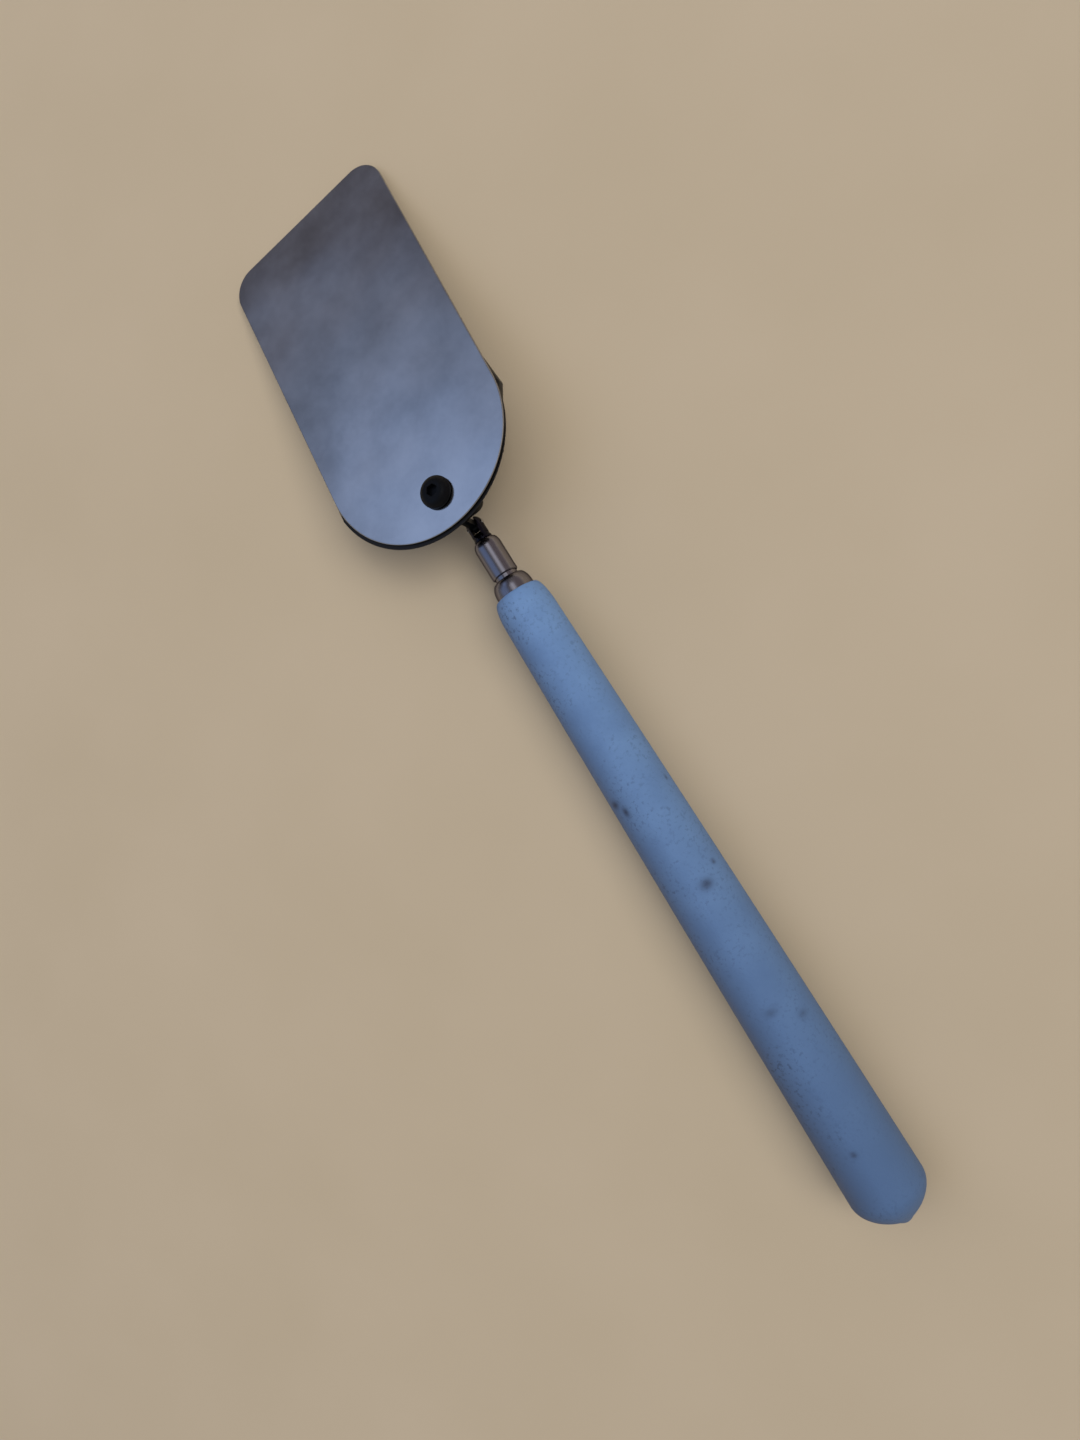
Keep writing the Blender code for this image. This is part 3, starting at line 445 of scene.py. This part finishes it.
# %% Head frame and plates
swivel = next(j for j in frame["joints"] if j["name"] == "mirror_swivel")
FACE, SCREW = Vector(swivel["axis"]).normalized(), Vector(swivel["pos_m"])
ACROSS = Vector((1.0, 0.0, 0.0))
ALONG = FACE.cross(ACROSS)
EDGE_STEPS, FLAT_STRIP = 6, 1.5


def on_head(u, v, depth):
    """Points of the head's frame in metres: screw + u across + v along + depth out of the face."""
    parts = [np.asarray(c, float)[..., None] * np.array(d) for c, d in ((u, ACROSS), (v, ALONG), (depth, FACE))]
    return np.array(SCREW) + parts[0] + parts[1] + parts[2]


def evenly(corners, count):
    """Walks a closed outline of (u, v) points and returns points at even steps along it."""
    loop = np.vstack([corners, corners[:1]])
    far = np.r_[0.0, np.cumsum(np.hypot(*np.diff(loop, axis=0).T))]
    at = np.linspace(0.0, far[-1], count, endpoint=False)
    return np.c_[np.interp(at, far, loop[:, 0]), np.interp(at, far, loop[:, 1])]


def holed_plate(outline, hole, low, high, edge):
    """A plate with a round hole at the screw and an edge rounded by quarter circles.

    Rows run from the hole's lower rim out to the edge, round it, back to the hole's upper rim and down the hole.
    The outline moves in along its own normal by edge (1 - cos a) as the edge turns, and a narrow flat strip inside the
    rounding keeps the smooth shading of the edge off the face.
    """
    step = np.roll(outline, -1, axis=0) - np.roll(outline, 1, axis=0)
    normal = np.c_[step[:, 1], -step[:, 0]] / np.hypot(*step.T)[:, None]
    turn = np.arctan2(outline[:, 1], outline[:, 0])
    ring = hole * np.c_[np.cos(turn), np.sin(turn)]
    a = np.radians(np.linspace(-90.0, 0.0, EDGE_STEPS))
    rounding = edge * (1.0 - np.cos(a))
    inset = np.r_[FLAT_STRIP * edge, rounding, rounding[::-1], FLAT_STRIP * edge]
    depth = np.r_[low, low + edge + edge * np.sin(a), high - edge - edge * np.sin(a)[::-1], high]
    flat = np.concatenate([ring[None], outline - inset[:, None, None] * normal, ring[None]])
    level = np.r_[low, depth, high][:, None] + 0.0 * turn
    return on_head(flat[..., 0], flat[..., 1], level)


print("face normal", [round(c, 4) for c in FACE], "along", [round(c, 4) for c in ALONG])

# %% [markdown]
# ## Mirror
# The mirror is a tongue of stainless sheet, round at the pivot and square with soft corners at the tip. Handling has
# left it hazy: it still mirrors the room, but softly and in clouds, and the sheet isn't quite flat. A rougher metal
# with a cloudy roughness and a low broad bump gives that; a picture of the clouds would slide about when it turns.

# %% Mirror steel
# Stainless sheet, polished and worn: broad soft reflections, clouds up to 18 mm across, slight waves
mirror_finish, tree, shader, place = finish_named("stainless_sheet_polished", "#C8C7CA", 0.26, 1.0)
haze = add(tree, "TexNoise", {"Scale": 1 / (18 * MM), "Detail": 5.0, "Roughness": 0.62}, {"Vector": place})
rough = add(tree, "MapRange", {"From Min": 0.3, "From Max": 0.7, "To Min": 0.10, "To Max": 0.20},
            {"Value": haze.outputs["Fac"]})
tone = add(tree, "ValToRGB", links={"Fac": haze.outputs["Fac"]}, stops=[(0.34, "#B6B6B7"), (0.66, "#D6D5D5")])
wave = add(tree, "TexNoise", {"Scale": 1 / (26 * MM), "Detail": 1.0, "Roughness": 0.4}, {"Vector": place})
uneven = add(tree, "Bump", {"Strength": 1.0, "Distance": 0.35 * MM}, {"Height": wave.outputs["Fac"]})
# Painted shade: the plate's side below its polished rounding is painted black, standing in for the shade and dark
# reflections along the steel edge
edge = add(tree, "Attribute", {"attribute_name": "edge"}).outputs["Fac"]
faced = add(tree, "Mix", {"data_type": "RGBA", 7: linear("#0E0E10")}, {0: edge, 6: tone.outputs["Color"]})
bare = add(tree, "MapRange", {"To Min": 1.0, "To Max": 0.0}, {"Value": edge})
feed(tree, shader, {
    "Base Color": faced.outputs[2], "Metallic": bare.outputs[0],
    "Roughness": rough.outputs[0], "Normal": uneven.outputs["Normal"],
})
print("mirror:", mirror_finish.name)

# %% Mirror plate
HALF_WIDE, ROUND_V, TIP_V, TIP_CORNER = 24 * MM, 15.1 * MM, 84.5 * MM, 6.5 * MM
HOLE_R, PLATE_THICK, PLATE_EDGE, BLACK_RISE = 2.2 * MM, 0.7 * MM, 0.2 * MM, 0.1 * MM
OUTLINE_POINTS = 480


def tongue(proud=0.0):
    """The mirror's outline: a half circle round the pivot end, two sides and two rounded corners, or one outside it."""
    side, corner = HALF_WIDE + proud, TIP_CORNER + proud
    far = TIP_V + proud - corner
    return evenly(np.vstack([
        arc(0.0, ROUND_V, side, side, 180.0, 360.0, 200),
        arc(side - corner, far, corner, corner, 0.0, 90.0, 40),
        arc(corner - side, far, corner, corner, 90.0, 180.0, 40),
    ]), OUTLINE_POINTS)


plate = holed_plate(tongue(), HOLE_R, -PLATE_THICK, 0.0, PLATE_EDGE)
mirror = grid_piece("mirror", plate, mirror_finish, closed_profile=True)
# The edge marks paint the plate's side black, as painted shade
below = -(points_of(mirror) - np.array(SCREW)) @ np.array(FACE)
mark(mirror, "edge", np.clip(below / BLACK_RISE - 0.5, 0.0, 1.0))
stand_for(mirror, "mirror_plate", "mirror")

# %% [markdown]
# ## Black pieces
# The stem, the knuckle and the backing come from the solids: their slots and holes are cut, so a merged copy with
# smooth shading is the shortest way to round them. The screw is a grid whose first rows follow a hexagon and whose
# later rows follow circles, which gives the socket without cutting.

# %% Black finishes
# Black oxide on alloy steel: dull black with a slight sheen, broken by a fine grain
oxide, tree, shader, place = finish_named("black_oxide_steel", "#04060B", 0.42)
shader.inputs["Specular IOR Level"].default_value = 0.22
grain = add(tree, "TexNoise", {"Scale": 1 / (0.8 * MM), "Detail": 3.0}, {"Vector": place})
rough = add(tree, "MapRange", {"To Min": 0.32, "To Max": 0.52}, {"Value": grain.outputs["Fac"]})
bump = add(tree, "Bump", {"Strength": 0.2, "Distance": 0.02 * MM}, {"Height": grain.outputs["Fac"]})
feed(tree, shader, {"Roughness": rough.outputs[0], "Normal": bump.outputs["Normal"]})

# Black nickel plate over turned steel: dark, glossy, with a violet cast
nickel, tree, shader, place = finish_named("black_nickel_plate", "#2A2A34", 0.2, 1.0)
wear = add(tree, "TexNoise", {"Scale": 1 / (1.5 * MM), "Detail": 3.0}, {"Vector": place})
rough = add(tree, "MapRange", {"To Min": 0.12, "To Max": 0.3}, {"Value": wear.outputs["Fac"]})
feed(tree, shader, {"Roughness": rough.outputs[0]})

# Moulded black plastic: fine spark-eroded grain, soft low gloss
plastic, tree, shader, place = finish_named("moulded_black_plastic", "#0B0B0C", 0.5)
grain = add(tree, "TexNoise", {"Scale": 1 / (0.5 * MM), "Detail": 2.0}, {"Vector": place})
rough = add(tree, "MapRange", {"To Min": 0.4, "To Max": 0.56}, {"Value": grain.outputs["Fac"]})
bump = add(tree, "Bump", {"Strength": 0.25, "Distance": 0.03 * MM}, {"Height": grain.outputs["Fac"]})
feed(tree, shader, {"Roughness": rough.outputs[0], "Normal": bump.outputs["Normal"]})
print("black finishes:", [made.name for made in (oxide, nickel, plastic)])

# %% Pivot screw
SCREW_COLUMNS, SCREW_SHARP_DEG = 96, 35.0
HEX_HALF, SOCKET_DEEP, MOUTH_DEEP, MOUTH_WIDE = 1.25 * MM, 1.3 * MM, 0.12 * MM, 0.1 * MM
HEAD_TOP, HEAD_FOOT, HEAD_SIDE = 2.35 * MM, 0.25 * MM, 0.35 * MM
DOME_FLAT_R, DOME_WIDE, DOME_HIGH = 1.9 * MM, 1.85 * MM, 1.75 * MM
# Radius and depth in mm, from the head's rim down to the shank's end
SHANK = [(3.75, 0.25), (1.95, 0.25), (1.95, -9.85), (1.55, -10.25), (0.0, -10.25)]


def screw_grid():
    """Radius and depth by row. Socket rows use the hexagon's radius (f/2)/cos(a mod 60 - 30), the rest are round."""
    a = np.linspace(0.0, 2.0 * np.pi, SCREW_COLUMNS, endpoint=False)
    hexagon = HEX_HALF / np.cos(np.mod(a, np.pi / 3.0) - np.pi / 6.0)
    dome = arc(DOME_FLAT_R, HEAD_FOOT + HEAD_SIDE, DOME_WIDE, DOME_HIGH, 90.0, 0.0, 20)
    socket = [
        (0.0 * hexagon, HEAD_TOP - SOCKET_DEEP), (hexagon, HEAD_TOP - SOCKET_DEEP),
        (hexagon, HEAD_TOP - MOUTH_DEEP), (hexagon + MOUTH_WIDE, HEAD_TOP),
    ]
    rows = socket + [(r + 0.0 * a, d) for r, d in np.vstack([dome, np.array(SHANK) * MM])]
    radius = np.array([r for r, _ in rows])
    depth = np.array([d for _, d in rows])[:, None] + 0.0 * a
    return on_head(radius * np.cos(a), radius * np.sin(a), depth)


screw = grid_piece("button_screw", screw_grid(), oxide, closed_profile=False, sharp_deg=SCREW_SHARP_DEG)
stand_for(screw, "pivot_screw", "mirror")

# %% Stem, knuckle and backing
def smooth_copy(name, node, material, width):
    """A merged copy of a solid, shaded smooth, with its sharp edges eased by a small bevel."""
    piece = merged_piece(name, nodes[node].data.copy(), material, SHARP_DEG)
    ease = piece.modifiers.new("eased_edges", "BEVEL")
    ease.width, ease.segments = width, 2
    ease.limit_method, ease.angle_limit = "ANGLE", np.radians(SHARP_DEG)
    ease.harden_normals = True
    return piece


for name, node, body, slot, material, ease_mm in (
    ("stem", "stem_fork", "mast", "black_stem", nickel, 0.06),
    ("knuckle", "tilt_knuckle", "knuckle", "black_oxide", oxide, 0.1),
    ("backing", "mirror_backing", "mirror", "backing_black", plastic, 0.15),
):
    stand_for(smooth_copy(name, node, material, ease_mm * MM), node, body)

# %% [markdown]
# ## Black sheet and stem collar
# Two small black pieces have no solid of their own. A thin sheet was bonded behind the mirror, a little low and to the
# left, so that its rim shows there as a black band: it is the mirror's own outline, a hair larger and shifted, and the
# band is partly painted shade under the mirror's edge. A collar closes the gap between the ferrule and the stem, around
# the rod, and its black is partly painted shade in that gap: it is a ring, carried round the shaft.

# %% Black sheet
# Shifted low and to the left, the sheet's black rim is partly painted shade under the mirror's lower edge
SHEET_PROUD, SHEET_SHIFT, SHEET_SHORT = 0.3 * MM, -0.45 * MM, 1.2 * MM
SHEET_LOW, SHEET_HIGH, SHEET_EDGE = -1.03 * MM, -0.73 * MM, 0.1 * MM

laid = tongue(SHEET_PROUD) + SHEET_SHIFT
laid = np.c_[np.maximum(laid[:, 0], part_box("mirror_backing")[0][0]), np.minimum(laid[:, 1], TIP_V - SHEET_SHORT)]
layer = holed_plate(laid, HOLE_R, SHEET_LOW, SHEET_HIGH, SHEET_EDGE)
sheet = grid_piece("bonded_sheet_and_shade_band", layer, plastic, closed_profile=True)
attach(sheet, "mirror")
print(sheet.name, "with", len(sheet.data.polygons), "faces")

# %% Stem collar
# The collar's black is partly painted shade: it darkens the gap between the ferrule and the stem
COLLAR_COLUMNS, COLLAR_GAP = 64, 0.1 * MM
# Radius and height above the ferrule's mouth in mm, round the ring's section
COLLAR = [(1.75, 0.0), (2.15, 0.0), (2.25, 0.1), (2.25, 0.55), (2.12, 0.75), (2.12, 0.45), (1.75, 0.45)]

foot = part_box("middle_ferrule")[1][1] + COLLAR_GAP
ring = around_shaft(np.array(COLLAR) * MM + np.array([0.0, foot]), COLLAR_COLUMNS)
collar = grid_piece("stem_collar_gap_shade", ring, nickel, closed_profile=True)
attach(collar, "mast")
print(collar.name, "with", len(collar.data.polygons), "faces")

# %% [markdown]
# ## Pieces inside
# What works inside the tubes keeps its solid and gets its own finish, so that the tool is right when it is drawn out
# or taken apart. The six finishes differ in colour, gloss and the size of their marks, so one loop makes them all.

# %% Inner finishes
def dress(node, material):
    """Gives a solid that stays in the scene a finish in place of its plain one."""
    nodes[node].data.materials.clear()
    nodes[node].data.materials.append(material)


# Each finish: the record's slot, name, colour, roughness, metallic, and the size of its turning or moulding marks in mm
INNER_FINISHES = [
    ("brass", "brass_turned", "#C2A05A", 0.3, 1.0, 0.3),
    ("bronze", "spring_bronze", "#A8774A", 0.35, 1.0, 0.4),
    ("rod_steel", "steel_rod_ground", "#C4C4C7", 0.2, 1.0, 0.25),
    ("spring_steel", "spring_steel_tempered", "#8C8C92", 0.3, 1.0, 0.4),
    ("plug_nylon", "nylon_moulded", "#262626", 0.5, 0.0, 0.8),
    ("fibre", "vulcanised_fibre", "#4A3A30", 0.7, 0.0, 0.6),
]
for slot, name, colour, gloss, metallic, marks in INNER_FINISHES:
    made, tree, shader, place = finish_named(name, colour, gloss, metallic)
    grain = add(tree, "TexNoise", {"Scale": 1 / (marks * MM), "Detail": 2.0}, {"Vector": place})
    rough = add(tree, "MapRange", {"To Min": gloss - 0.1, "To Max": gloss + 0.12}, {"Value": grain.outputs["Fac"]})
    feed(tree, shader, {"Roughness": rough.outputs[0]})
    dressed = [p["node"] for p in frame["record"]["subparts"] if p["material_slot"] == slot]
    for node in dressed:
        dress(node, made)
    print(name, "on", dressed)
dress("middle_tube", tube_finish)
dress("lock_nut", oxide)

# %% [markdown]
# ## Size
# The dressed tool must stay inside the box of the imported model.
